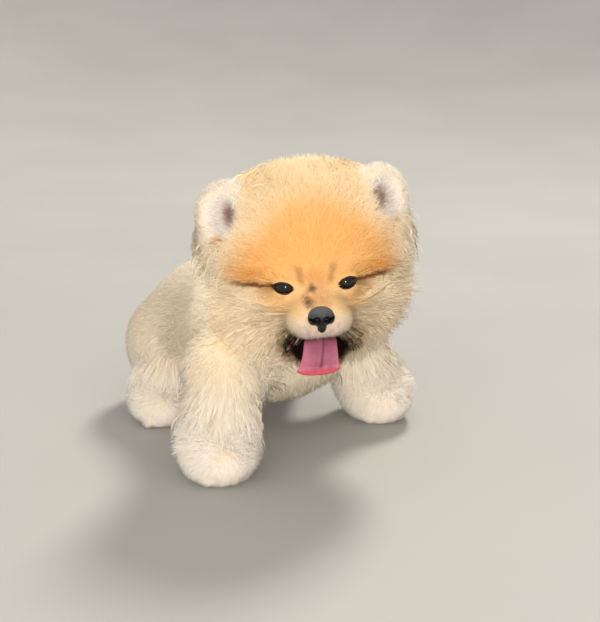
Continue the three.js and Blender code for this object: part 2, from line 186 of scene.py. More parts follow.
# materials: a wire is a value in a material's tree, and sums on wires add its maths nodes
class Wire:
    def __init__(self, tree, socket):
        self.tree = tree
        self.socket = socket

    def node(self, kind, settings=None, sockets=None, out=0):
        made = self.tree.nodes.new("ShaderNode" + kind)
        for name, value in (settings or {}).items():
            if name == "stops":
                ramp = made.color_ramp
                while len(ramp.elements) < len(value):
                    ramp.elements.new(0.5)
                for element, (place, colour) in zip(ramp.elements, value):
                    element.position = place
                    element.color = colour
            else:
                setattr(made, name, value)
        for name, value in (sockets or {}).items():
            if isinstance(value, Wire):
                self.tree.links.new(value.socket, made.inputs[name])
            else:
                made.inputs[name].default_value = value
        return Wire(self.tree, made.outputs[out])

    def maths(self, operation, a, b=0.0):
        return self.node("Math", {"operation": operation}, {0: a, 1: b})

    def __add__(self, other):
        return self.maths("ADD", self, other)

    def __radd__(self, other):
        return self.maths("ADD", other, self)

    def __sub__(self, other):
        return self.maths("SUBTRACT", self, other)

    def __rsub__(self, other):
        return self.maths("SUBTRACT", other, self)

    def __mul__(self, other):
        return self.maths("MULTIPLY", self, other)

    def __rmul__(self, other):
        return self.maths("MULTIPLY", other, self)

    def __truediv__(self, other):
        return self.maths("DIVIDE", self, other)

    def abs(self):
        return self.maths("ABSOLUTE", self)

    def root(self):
        return self.maths("SQRT", self)

    def ramp(self, start, end):  # 0 before start and 1 after end, smooth between
        return self.node("MapRange", {"interpolation_type": "SMOOTHSTEP"},
                         {"Value": self, "From Min": start, "From Max": end})

    def mix(self, a, b):  # this wire is the share of colour b
        return self.node("Mix", {"data_type": "RGBA"}, {0: self, 6: a, 7: b}, out=2)

    def times(self, a, b):  # colours multiplied, by this wire's share
        return self.node("Mix", {"data_type": "RGBA", "blend_type": "MULTIPLY"}, {0: self, 6: a, 7: b}, out=2)

    def dyed(self, other):  # this colour multiplied by another
        return self.node("Mix", {"data_type": "RGBA", "blend_type": "MULTIPLY"},
                         {0: 1.0, 6: self, 7: other}, out=2)

    def parts(self):
        made = self.node("SeparateXYZ", sockets={0: self})
        return [Wire(self.tree, made.socket.node.outputs[i]) for i in range(3)]

    def noise(self, scale, detail=2.0, roughness=0.5):
        return self.node("TexNoise", {}, {"Vector": self, "Scale": scale, "Detail": detail,
                                          "Roughness": roughness})

    def cells(self, scale):
        return self.node("TexVoronoi", {"feature": "F1"}, {"Vector": self, "Scale": scale})

    def attribute(self, name):
        return self.node("Attribute", {"attribute_name": name}, out="Fac")

    def bump(self, strength, distance):
        return self.node("Bump", {}, {"Height": self, "Strength": strength, "Distance": distance})


def eggFar(spot, centre, half):  # 1 on the surface of an egg, for three wires
    near = [(wire - middle) / reach for wire, middle, reach in zip(spot, centre, half)]
    return (near[0] * near[0] + near[1] * near[1] + near[2] * near[2]).root()


def tone(*screen):  # a colour from screen values
    return tuple(c / 255 / 12.92 if c < 10 else ((c / 255 + 0.055) / 1.055) ** 2.4 for c in screen) + (1.0,)


def material(name, fixed, paint):
    made = bpy.data.materials.new(name)
    made.use_nodes = True
    tree = made.node_tree
    shader = tree.nodes["Principled BSDF"]
    for socket, value in fixed.items():
        shader.inputs[socket].default_value = value
    place = Wire(tree, tree.nodes.new("ShaderNodeTexCoord").outputs["Object"])
    for socket, wire in paint(place).items():
        tree.links.new(wire.socket, shader.inputs[socket])
    return made


def inFrame(place, matrix):  # object place in metres to millimetres in a frame of the puppy
    moved = Matrix.Translation(shift) @ matrix
    return place.node("Mapping", {"vector_type": "TEXTURE"},
                      {"Vector": place, "Location": moved.translation * mm,
                       "Rotation": moved.to_euler("XYZ"), "Scale": (mm, mm, mm)})


tones = {
    "cream": tone(251, 240, 218), "pale": tone(242, 236, 227), "chest": tone(241, 227, 201),
    "flank": tone(228, 216, 195), "orange": tone(251, 195, 120), "brow": tone(240, 168, 86),
    "crown": tone(248, 222, 178), "cheek": tone(255, 237, 206), "gold": tone(250, 206, 138),
    "bridge": tone(212, 166, 116), "pad": tone(196, 178, 166), "muzzle": tone(228, 216, 207),
    "spot": tone(104, 80, 58), "wet": tone(150, 110, 70), "stain": tone(26, 15, 10),
    # the crease tone is a painted shade colour
    "crease": tone(128, 70, 28), "earRim": tone(255, 244, 226), "earIn": tone(244, 236, 232),
    # the ear's deep tone is a painted shade colour for the hollow
    "earHollowShade": tone(132, 92, 70), "earSpot": tone(214, 150, 78), "lip": tone(30, 20, 16),
    "mouth": tone(120, 50, 48), "sole": tone(58, 42, 40),
}


# the markings of the puppy, the same on the skin and on the coat
def markings(place):
    head = inFrame(place, headFrame)
    x, y, z = head.parts()
    wide = x.abs()
    patch = head.noise(0.055, 3.0, 0.55) - 0.5
    fine = head.noise(0.35, 2.0, 0.5) - 0.5
    front = 1 - (y + patch * 14).ramp(10, 34)
    above = (z + patch * 8 + fine * 5 - wide * 0.05).ramp(-6, 1)
    dome = ((x - 1) * (x - 1) / 2500 + (z + 2) * (z + 2) / 2300).root() + patch * 0.3
    orange = above * front * (1 - dome.ramp(0.72, 1.16))
    bodyX, bodyY, bodyZ = inFrame(place, bodyFrame).parts()
    onBody = bodyY.ramp(-6, 26)
    chest = 1 - ((bodyZ - 50) / 34).abs().ramp(0.3, 1.2)
    colour = chest.mix(tones["cream"], tones["chest"])
    low = 1 - bodyZ.ramp(16, 74)
    onLeg = (bodyX + bodyY * 0.35 - 8).abs().ramp(26, 40)
    colour = (low * (0.35 + 0.6 * onLeg)).mix(colour, tones["pale"])
    colour = (onBody * 0.75 * bodyZ.ramp(18, 50) * (1 - bodyZ.ramp(76, 104))).mix(colour, tones["flank"])
    onHead = bodyZ.ramp(62, 86) * (1 - y.ramp(24, 44))
    colour = onHead.mix(colour, tones["cheek"])
    edge = (wide + patch * 12).ramp(48, 66) * onHead
    colour = (edge * 0.7).mix(colour, tones["cream"])
    crown = z.ramp(26, 52) * onHead
    colour = (crown * 0.9).mix(colour, tones["crown"])
    colour = (orange * onHead * 0.95).mix(colour, tones["orange"])
    line = z + 3.5 - (wide - 22) * 0.1  # height over the crease that runs out from each eye
    outer = wide.ramp(19, 24) * (1 - (wide + patch * 10).ramp(36, 52)) * front * onHead
    band = (1 - ((line - 5 + patch * 6) / 8).abs().ramp(0.2, 1.0)) * outer
    colour = (band * 0.6).mix(colour, tones["brow"])
    eyeX = wide - face["eyeAt"][0]
    eyeZ = z - face["eyeAt"][2]
    eyeFar = (eyeX * eyeX * 0.64 + eyeZ * eyeZ).root()
    nearEye = (1 - (eyeFar + fine * 6).ramp(7, 20)) * (1 - y.ramp(-24, -14))
    colour = (nearEye * 0.75).mix(colour, tones["gold"])
    # the frown lines are painted with the crease tone: painted shade in the folds beside the brows
    frown = 1 - ((wide - 8.5 - (z - 2) * 0.15 + fine * 4) / 3.2).abs().ramp(0.1, 1.0)
    frown = frown * z.ramp(-5, 1) * (1 - z.ramp(5, 14)) * (1 - y.ramp(-30, -20))
    colour = (frown * 0.4).mix(colour, tones["crease"])
    # the dark line along the crease under each brow is painted shade where the brow's fur overhangs the cheek
    crease = (1 - (line + fine * 3.5).abs().ramp(0.4, 2.8)) * outer * (1 - y.ramp(-16, 4))
    colour = (crease * 0.9).mix(colour, tones["crease"])
    muzzleZ = z + 24.5
    muzzleFar = ((x * x) / 230 + (muzzleZ * muzzleZ) / 85).root()
    muzzle = (1 - (muzzleFar + fine * 0.5).ramp(0.6, 1.45)) * (1 - y.ramp(-36, -24))
    pad = (fine + 0.5).ramp(0.35, 0.75).mix(tones["muzzle"], tones["pad"])
    colour = (muzzle * 0.9).mix(colour, pad)
    bridge = (1 - (wide + fine * 4).ramp(2, 9)) * z.ramp(-17, -10) * (1 - z.ramp(0, 9))
    bridge = bridge * (1 - y.ramp(-30, -22))
    colour = (bridge * 0.6).mix(colour, tones["bridge"])
    for spotX, spotZ, size in ((-2.6, -4.0, 2.4), (-5.6, -9.6, 2.9)):
        spot = ((x - spotX) * (x - spotX) + (z - spotZ) * (z - spotZ)).root() / size + fine * 1.8
        colour = ((1 - spot.ramp(0.0, 1.5)) * (1 - y.ramp(-30, -22)) * 0.85).mix(colour, tones["spot"])
    mouthFar = eggFar((wide, y, z), (5, -32, -36), (17.5, 23, 11))
    lip = (1 - (wide + fine * 4).ramp(7, 13)) * z.ramp(-33, -28)  # the middle of the upper lip stays pale
    halo = (1 - (mouthFar + patch * 1.2 + fine * 0.8).ramp(0.8, 1.55)) * (1 - lip)
    colour = (halo * 0.7).mix(colour, tones["wet"])
    stain = (1 - (mouthFar + patch * 0.8 + fine * 0.6).ramp(0.7, 1.2)) * (1 - lip)
    return stain.mix(colour, tones["stain"])


def earTones(place, colour, s):  # the markings inside one ear
    ear = inFrame(place, earFrame(s))
    x, y, z = ear.parts()
    inEar = 1 - ((x * x) / 480 + (y * y) / 200 + (z * z) / 520).root().ramp(0.92, 1.12)
    hollow = (x * x / 150 + (z - 1) * (z - 1) / 190).root()
    inner = (1 - hollow.ramp(0.55, 1.1)) * (1 - y.ramp(-4, 1))
    # the ear's hollow is painted darker: painted shade deep in the cup
    hollowShade = (1 - ((x + s * 5) * (x + s * 5) / 26 + (z + 1) * (z + 1) / 70).root().ramp(0.2, 1.3)) * inner
    spot = (1 - ((x - s * 9) * (x - s * 9) / 50 + (z + 13) * (z + 13) / 30).root().ramp(0.4, 1.2)) * inEar
    colour = inEar.mix(colour, tones["earRim"])
    colour = (inner * 0.85).mix(colour, tones["earIn"])
    colour = (hollowShade * 0.85).mix(colour, tones["earHollowShade"])
    return (spot * 0.8).mix(colour, tones["earSpot"])


def allMarkings(place):
    return earTones(place, earTones(place, markings(place), 1), -1)


def coatPaint(place):
    colour = allMarkings(place)
    along = place.attribute("along")
    strand = place.attribute("strand")
    # the roots are painted darker: partly the undercoat's own warmer colour, partly painted shade deep
    # between the hairs
    rootUndercoatAndShade = (1 - along.ramp(0.0, 0.9)) * 0.2
    colour = rootUndercoatAndShade.times(colour, tone(228, 206, 180))
    # the tips are painted lighter and cooler: partly the coat's own paler tips, partly a painted sheen
    light = along.ramp(0.7, 1.0) * (0.4 + strand * 0.6)
    colour = light.times(colour, (1.06, 1.09, 1.14, 1.0))
    # each hair is tinted darker at random, and fully between the toes, where the tint is painted shade
    colour = (strand * 0.55).times(colour, tone(230, 214, 194))
    return {"Base Color": colour}


def skinPaint(place):
    # the skin under the coat is painted darker than the markings: painted shade between the hairs
    shade = place.noise(400, 3.0, 0.6).ramp(0.3, 0.7).mix(tone(236, 220, 200), tone(248, 236, 222))
    colour = allMarkings(place).dyed(shade)
    x, y, z = inFrame(place, headFrame).parts()
    mouthFar = eggFar((x, y, z), (0, -31, -32), (20, 22, 6.6))
    lining = 1 - mouthFar.ramp(1.05, 1.16)
    colour = lining.mix(colour, tones["lip"])
    inner = 1 - mouthFar.ramp(0.8, 0.98)
    colour = (inner * y.ramp(-48, -20)).mix(colour, tones["mouth"])
    pads = 1 - inFrame(place, bodyFrame).parts()[2].ramp(0.9, 2.2)
    colour = pads.mix(colour, tones["sole"])
    grain = place.noise(1900, 3.0, 0.6)
    return {"Base Color": colour, "Roughness": 0.75 - lining * 0.4, "Normal": grain.bump(0.4, 0.0004)}


coatMaterial = material("Puppy coat", {"Roughness": 0.7, "Specular IOR Level": 0.12}, coatPaint)
skinMaterial = material("Puppy skin", {"Specular IOR Level": 0.3}, skinPaint)


def finish(name, mesh, finishMaterial, slot, *nodes):
    piece = linked(name, mesh)
    piece.data.materials.clear()
    piece.data.materials.append(finishMaterial)
    piece.data.shade_smooth()
    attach(piece, "root")
    if nodes:
        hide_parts(*nodes)
    return piece


def toPart(mesh):  # from millimetres in the sizes' own origin to metres in the part's
    mesh.transform(Matrix.Scale(mm, 4) @ Matrix.Translation(shift))
    mesh.update()


def applied(mesh, *modifiers):
    holder = linked("holder", mesh)
    for kind, settings in modifiers:
        made = holder.modifiers.new(kind, kind)
        for name, value in settings.items():
            setattr(made, name, value)
    bpy.context.view_layer.update()
    result = bpy.data.meshes.new_from_object(holder.evaluated_get(bpy.context.evaluated_depsgraph_get()))
    bpy.data.objects.remove(holder)
    return result


def ballsMesh(name, eggs, subdivisions=4):
    bm = bmesh.new()
    for e in eggs:
        size = Matrix.Diagonal([*e["half"], 1])
        bmesh.ops.create_icosphere(bm, subdivisions=subdivisions, radius=1, matrix=e["matrix"] @ size)
    return meshOf(bm, name)


def places(mesh):
    co = np.zeros(len(mesh.vertices) * 3, np.float32)
    mesh.vertices.foreach_get("co", co)
    return co.reshape(-1, 3).astype(float)


def carve(mesh, cutter, voxel=None):
    if voxel:  # cutters that overlap are made one first
        cutter = applied(cutter, ("REMESH", {"mode": "VOXEL", "voxel_size": voxel}))
    tool = linked("cutter", cutter)
    tool.hide_render = True
    result = applied(mesh, ("BOOLEAN", {"operation": "DIFFERENCE", "solver": "EXACT", "object": tool}))
    bpy.data.objects.remove(tool)
    return result


# skin: the flesh melted into one form, drawn onto its exact outline, then opened at mouth, ears and eyes
skin = {"voxel": 1.0, "settle": 4, "keep": 0.5, "toes": 4, "toeStep": 6.4, "toeAhead": 11.5, "toeUp": 4.6,
        "toeHalf": (4.4, 6.0, 4.6), "blend": 5, "step": 0.3, "opening": 1.12, "sole": 0.3}


def toeEggs(leg):
    x, y = body["paws"][leg]
    found = []
    for i in range(skin["toes"]):
        across = (i - (skin["toes"] - 1) / 2) * skin["toeStep"]
        ahead = skin["toeAhead"] - abs(across) * 0.35
        found.append(egg(bodyFrame, (x + across, y - 2 - ahead, skin["toeUp"]), skin["toeHalf"]))
    return found


lidBalls = [egg(headFrame, (s * face["eyeAt"][0], *face["eyeAt"][1:]), [face["eyeRadius"] + face["lid"]] * 3)
            for s in (1, -1)]


def almond(s, half, grow, steps):  # an eye's opening: a curve over it and one back under it
    tilt = face["lidTilt"]
    found = []
    for a, b, c in (((-s * half, -tilt), (0, face["lidHigh"] * grow), (s * half, tilt)),
                    ((s * half, tilt), (s * 0.5, face["lidLow"] * grow), (-s * half, -tilt))):
        for i in range(steps):
            t = i / steps
            found.append([(1 - t) ** 2 * a[k] + 2 * t * (1 - t) * b[k] + t * t * c[k] for k in (0, 1)])
    return found


def lidFrame(s):
    x, y, z = face["eyeAt"]
    return headFrame @ frameAt((s * x, y, z), (s * 12, 0, 0))


def eyeCutter(s):
    grow = skin["opening"]
    bm = bmesh.new()
    rim = almond(s, face["lidHalf"] * grow, grow, 12)
    frontFace = bm.faces.new([bm.verts.new((u, -20, v)) for u, v in rim])
    pushed = bmesh.ops.extrude_face_region(bm, geom=[frontFace])
    moved = [v for v in pushed["geom"] if isinstance(v, bmesh.types.BMVert)]
    bmesh.ops.translate(bm, verts=moved, vec=(0, 20, 0))
    bmesh.ops.recalc_face_normals(bm, faces=bm.faces)
    bm.transform(lidFrame(s))
    return meshOf(bm, "opening")


def floorCutter():
    bm = bmesh.new()
    place = Matrix.Translation((0, 50, skin["sole"] - 50)) @ Matrix.Diagonal((400, 500, 100, 1))
    bmesh.ops.create_cube(bm, size=1, matrix=place)
    return meshOf(bm, "under")


def fleshField(points):
    result = None
    for name, each in flesh.items():
        if name == "jaw":
            continue
        d = formDistance(each, points)
        result = d if result is None else blendMin(result, d, skin["blend"])
    return result


def makeSkin():
    eggs = [e for name, each in flesh.items() for e in each["eggs"]]
    mesh = applied(ballsMesh("skin", eggs), ("REMESH", {"mode": "VOXEL", "voxel_size": skin["voxel"] * 1.3}))
    points = places(mesh)
    jaw = formDistance(flesh["jaw"], points)
    for turn in range(skin["settle"]):
        d = fleshField(points)
        step = skin["step"]
        slope = np.stack([fleshField(points + offset) - d for offset in np.eye(3) * step], 1) / step
        move = np.clip(d, -3, 3)[:, None] * slope / (np.sum(slope * slope, 1, keepdims=True) + 1e-6)
        points -= move * (jaw > 1.5)[:, None]  # the field leaves out the jaw, which stays as it is
    mesh.vertices.foreach_set("co", points.astype(np.float32).ravel())
    mesh.update()
    toes = [e for leg in body["paws"] for e in toeEggs(leg)]
    extra = ballsMesh("lids", lidBalls + toes)
    bm = bmesh.new()
    bm.from_mesh(mesh)
    bm.from_mesh(extra)
    bm.to_mesh(mesh)
    bm.free()
    mesh = applied(mesh, ("REMESH", {"mode": "VOXEL", "voxel_size": skin["voxel"]}))
    for cutter in (ballsMesh("hollows", [mouthEgg] + earHollow), eyeCutter(1), eyeCutter(-1), floorCutter()):
        mesh = carve(mesh, cutter)
    return applied(mesh, ("REMESH", {"mode": "VOXEL", "voxel_size": skin["voxel"] * 0.92}),
                   ("SMOOTH", {"factor": 0.5, "iterations": 4}), ("DECIMATE", {"ratio": skin["keep"]}))


skinMesh = makeSkin()
skinPoints = places(skinMesh)
skinMesh.calc_loop_triangles()
skinTris = np.zeros(len(skinMesh.loop_triangles) * 3, np.int32)
skinMesh.loop_triangles.foreach_get("vertices", skinTris)
skinTris = skinTris.reshape(-1, 3)
skinNormals = np.zeros(len(skinMesh.vertices) * 3, np.float32)
skinMesh.vertices.foreach_get("normal", skinNormals)
skinNormals = skinNormals.reshape(-1, 3).astype(float)
print("skin", len(skinTris), "triangles")

# coat: hairs of three flat sides that rise from the skin, lean along the lie and end at the coat's outline
hairs = {
    "candidates": 322000, "short": 7.5, "long": 16.0, "lengths": (2, 8, 24), "widths": (0.28, 0.32, 0.44),
    "shortest": 3.2, "deepest": 60.0, "longest": 36.0, "inEars": 9.0, "over": 1.04, "uneven": 0.22,
    "sunk": 0.6, "stray": 0.24, "looseStray": 2.1, "earStray": 1.7, "loose": 0.1,
    "rings": {"coat": 0.66, "fluff": 0.78},
    "clump": 2.2, "pull": 0.2, "pieceLimit": 190000, "jawShare": 0.35, "otherBend": 0.7,
    "bends": {"neck": 0.6, "torso": 0.75, "head": 0.3, "tail": 0.4, "jaw": 0.4, "ear_left": 0.3,
              "ear_right": 0.3},
    "underShare": 0.3, "underLength": (0.6, 0.88), "underWidths": (0.6, 1.5),
}
regionNames = list(flesh)
lieSource = np.array(headFrame @ Vector(face["stop"]))
noseSource = np.array(headFrame @ Vector((0, -64, -12)))
headInverse = np.array(headFrame.inverted())
headTurn = np.array(headFrame.to_3x3())


def coatField(points):
    result = None
    for name, each in coat.items():
        d = formDistance(each, points)
        if result is None:
            result = d
        else:
            result = blendMin(result, d, 3 if name.startswith("ear") else 7)
    return result


def faceShare(points):  # how much of its length a hair has near eyes, muzzle and bridge
    p = within(headInverse, points)
    wide = np.abs(p[:, 0])
    eyeFar = np.hypot((wide - face["eyeAt"][0]) / 1.25, p[:, 2] - face["eyeAt"][2]) - face["eyeRadius"]
    muzzleFar = (np.hypot(p[:, 0] / 9.5, (p[:, 2] + 27) / 11) - 1) * 11
    lower = smooth(p[:, 2] - face["eyeAt"][2], 3, -5)
    depth = 5 + 5 * lower
    bridgeFar = np.hypot(p[:, 0] / 8.5, (p[:, 2] + 8) / 10.5)
    bare = smooth(eyeFar / depth, 0, 1) * smooth(muzzleFar, 0, 11) * smooth(bridgeFar, 0.75, 1.9)
    share = 1 + (bare - 1) * smooth(-8 - p[:, 1], 0, 10)
    line = p[:, 2] + 3.5 - (wide - 22) * 0.1  # under the crease the cheeks start a little lower
    crease = smooth(line, 1.5, -1) * smooth(line, -12, -1) * smooth(wide, 19, 25) * (1 - smooth(wide, 42, 60))
    return share * (1 - 0.2 * crease * smooth(-p[:, 1], -4, 12))


def lieOf(points, weights):  # the way the hair lies, from each region's own rule
    p = within(headInverse, points)
    away = points - lieSource
    muzzle = 1 - smooth(np.hypot(p[:, 0] / 15, (p[:, 2] + 22) / 16), 0.8, 1.4)
    muzzle = muzzle * (1 - smooth(p[:, 1], -38, -26))
    away = unit(away) * (1 - muzzle[:, None]) + unit(points - noseSource) * muzzle[:, None]
    head = away + np.array([0, 0.1, -0.15])
    for ball in lidBalls:  # hairs beside an eye turn away from it
        fromEye = points - np.array(ball["matrix"].translation)
        beside = 1 - smooth(np.linalg.norm(fromEye, axis=1), 7.6, 9.6)
        head += 2.2 * beside[:, None] * unit(fromEye + 4 * headTurn[:, 1])
    ones = np.ones(len(points))
    rows = {
        "head": head, "jaw": np.stack([0 * ones, 0.6 * ones, -1 * ones], 1),
        "neck": np.stack([points[:, 0] / 60, ones, (points[:, 2] - 100) / 70], 1),
        "torso": np.stack([0 * ones, np.where(points[:, 1] < 0, 0, 1), -0.7 * ones], 1),
        "tail": np.stack([0.6 * ones, -1 * ones, 0.2 * ones], 1),
    }
    for side, s in (("left", 1), ("right", -1)):
        ear = earFrame(s)
        fromEar = unit(points - np.array(ear @ Vector((-s * 8, 3, -16))))
        rows["ear_" + side] = fromEar
    total = np.zeros_like(points)
    for i, name in enumerate(regionNames):
        lie = rows.get(name)
        if lie is None:
            lie = np.stack([0 * ones, 0.15 * ones, -1 * ones], 1)
        total += weights[:, i:i + 1] * unit(lie)
    return unit(total)


def toeGap(points):  # 1 between two toes, where the hairs are made shorter and painted darker as painted shade
    gap = np.zeros(len(points))
    for x, y in body["paws"].values():
        across = (points[:, 0] - x) / 8.5 - 0.5
        between = 1 - smooth(np.abs(across - np.round(across)), 0.02, 0.2)
        front = smooth(y - 10 - points[:, 1], 0, 5) * (1 - smooth(points[:, 2], 7, 15))
        gap = np.maximum(gap, between * front * (np.abs(points[:, 0] - x) < 15))
    return gap


def growHairs():
    a, b, c = (skinPoints[skinTris[:, i]] for i in range(3))
    areas = np.linalg.norm(np.cross(b - a, c - a), axis=1) / 2
    middles = (a + b + c) / 3
    fieldMiddle = -coatField(middles)
    share = faceShare(middles)
    depth = np.clip(fieldMiddle, 1, 40) * share
    onEars = np.minimum(*(formDistance(flesh[name], middles) for name in ("ear_left", "ear_right"))) < 2
    eyeFar = [np.linalg.norm(middles - np.array(ball["matrix"].translation), axis=1) for ball in lidBalls]
    nearEyes = np.minimum(*eyeFar) < 12
    weight = areas * (1 + depth / 26) ** 1.7 * (1 + 3.6 * (1 - smooth(depth, 4, 12)))
    weight *= np.where(onEars, 1.3, np.where(nearEyes, 1.8, 1))
    count = hairs["candidates"]
    chosen = rng.choice(len(areas), count, p=weight / weight.sum())
    u = rng.random(count)
    v = rng.random(count)
    over = u + v > 1
    u[over] = 1 - u[over]
    v[over] = 1 - v[over]
    shares = (1 - u - v, u, v)
    roots, out = (sum(rows[skinTris[chosen, i]] * k[:, None] for i, k in enumerate(shares))
                  for rows in (skinPoints, skinNormals))
    out = unit(out)
    distance = np.stack([formDistance(flesh[name], roots) for name in regionNames], 1)
    near = distance - distance.min(1, keepdims=True)
    weights = np.exp(-near / 6)
    weights /= weights.sum(1, keepdims=True)
    region = distance.argmin(1)
    head = within(headInverse, roots)
    keep = roots[:, 2] > 1.2
    keep &= eggDistance({**mouthEgg, "half": mouthEgg["half"] + 0.8}, roots) > 0.3
    for s, ball in zip((1, -1), lidBalls):  # none on the lids' balls inside the almond
        onBall = np.abs(eggDistance(ball, roots)) < 2.5
        across = (head[:, 0] - s * face["eyeAt"][0]) / 7.4
        high = (head[:, 2] - face["eyeAt"][2]) / 3.7
        keep &= ~onBall | (np.hypot(across, high) > 1) | (head[:, 1] > face["eyeAt"][1])
    keep &= np.linalg.norm((head - np.array(face["noseAt"])) / (7.4, 9, 6.0), axis=1) > 1
    hollow = np.zeros(count, bool)
    for cup in earHollow:
        hollow |= eggDistance(cup, roots) < 0.8
    roots, out, weights, region, hollow = (rows[keep] for rows in (roots, out, weights, region, hollow))
    lie = lieOf(roots, weights)
    lie = unit(lie - out * np.sum(lie * out, 1, keepdims=True))
    isHead = region == regionNames.index("head")
    onEar = region >= regionNames.index("ear_left")  # the ears are the last two regions
    bend = np.array([hairs["bends"].get(name, hairs["otherBend"]) for name in regionNames])[region]
    shareHere = np.where(isHead, faceShare(roots + out * 3), 1.0)
    bend = bend + 1.2 * (1 - smooth(shareHere, 0.0, 0.8)) + 0.7 * hollow
    loose = rng.random(len(roots)) < hairs["loose"]  # a few hairs stand off the others
    stray = np.where(loose, hairs["looseStray"], np.where(onEar, hairs["earStray"], 1)) * hairs["stray"]
    stray *= np.maximum(shareHere, 0.25) ** 0.5
    way = unit(out + lie * bend[:, None] + rng.normal(0, 1, roots.shape) * stray[:, None])
    way[:, 2] = np.maximum(way[:, 2], (0.7 - roots[:, 2]) / hairs["lengths"][1])  # not into the floor
    way = unit(way)
    inside = np.zeros(len(roots))  # the way to the coat's outline is halved eleven times
    outside = np.full(len(roots), hairs["deepest"] + 2)
    for turn in range(11):
        between = (inside + outside) / 2
        isIn = coatField(roots + way * between[:, None]) < 0
        inside = np.where(isIn, between, inside)
        outside = np.where(isIn, outside, between)
    topShare = faceShare(roots + way * inside[:, None])
    topShare = np.where(region == regionNames.index("jaw"), hairs["jawShare"], topShare)
    topShare = np.where(onEar, 1.0, topShare)
    reach = hairs["over"] * inside * topShare * np.clip(shareHere, 0, 1) ** 0.5
    reach = np.minimum(reach, np.where(hollow, hairs["inEars"], hairs["longest"]))
    reach = np.clip(reach, hairs["shortest"], None) * (1 - hairs["uneven"] * rng.random(len(roots)) ** 1.4)
    gap = toeGap(roots + out * 6)
    reach *= 1 - 0.35 * gap
    fits = inside < hairs["deepest"]
    roots, out, region, gap, way, reach, loose = (
        rows[fits] for rows in (roots, out, region, gap, way, reach, loose))
    under = (rng.random(len(roots)) < hairs["underShare"]) & (reach > 5) & ~loose  # wide tufts of undercoat
    reach = np.where(under, reach * rng.uniform(*hairs["underLength"], len(roots)), reach)
    thick = np.where(under, np.interp(reach, (3, 15), hairs["underWidths"]),
                     np.interp(reach, hairs["lengths"], hairs["widths"]) * np.where(loose, 0.7, 1))
    tips = roots + way * reach[:, None]
    print("hairs", len(roots), "longest", reach.max().round(1))
    tips = clumped(roots, tips, reach, under)
    tips[:, 2] = np.clip(tips[:, 2], 0.5, None)
    bow = roots + out * (reach * 0.42)[:, None] + (tips - roots) * 0.22
    bow += rng.normal(0, 0.035, bow.shape) * reach[:, None]
    bow[:, 2] = np.clip(bow[:, 2], 0.8, None)
    # between the toes the hairs' strand value is raised to 1, which paints them darker: painted shade between
    # the toes
    return {"roots": roots, "out": out, "tips": tips, "bow": bow, "reach": reach, "region": region,
            "thick": thick, "strand": np.maximum(rng.random(len(roots)), gap)}


def clumped(roots, tips, reach, under):  # tips drawn a little to those of a hair near by
    cell = np.floor(roots / (hairs["clump"] * 0.8)).astype(np.int64)
    key = (cell[:, 0] * 73856093) ^ (cell[:, 1] * 19349663) ^ (cell[:, 2] * 83492791)
    firsts = np.unique(key, return_index=True)[1]
    tree = KDTree(len(firsts))
    for i in firsts:
        tree.insert(roots[i], int(i))
    tree.balance()
    owner = np.fromiter((tree.find(p)[1] for p in roots), np.int64, len(roots))
    offset = tips[owner] - tips
    far = np.linalg.norm(offset, axis=1)
    chest = smooth(-roots[:, 1], 2, 14) * (1 - smooth(roots[:, 2], 84, 98))  # tufts hang on the chest
    share = hairs["pull"] * (1 + 2 * chest) * np.clip(1.6 * reach / (far + 1e-6), 0, 1)
    share *= smooth(reach, 2, 10) * ~under
    alike = np.sum(unit(tips[owner] - roots[owner]) * unit(tips - roots), axis=1) > 0.5
    return tips + offset * (share * alike)[:, None]


grown = growHairs()


# each region of the skin is unwrapped by the direction from its own middle, folded flat
def unwrap(points, origin):
    d = points - np.array(origin)
    d /= np.abs(d).sum(1, keepdims=True) + 1e-9
    u, v = d[:, 0], d[:, 1]
    behind = d[:, 2] < 0
    foldU = (1 - np.abs(v)) * np.where(u >= 0, 1, -1)
    foldV = (1 - np.abs(u)) * np.where(v >= 0, 1, -1)
    return np.stack([np.where(behind, foldU, u), np.where(behind, foldV, v)], 1) * 0.49 + 0.5


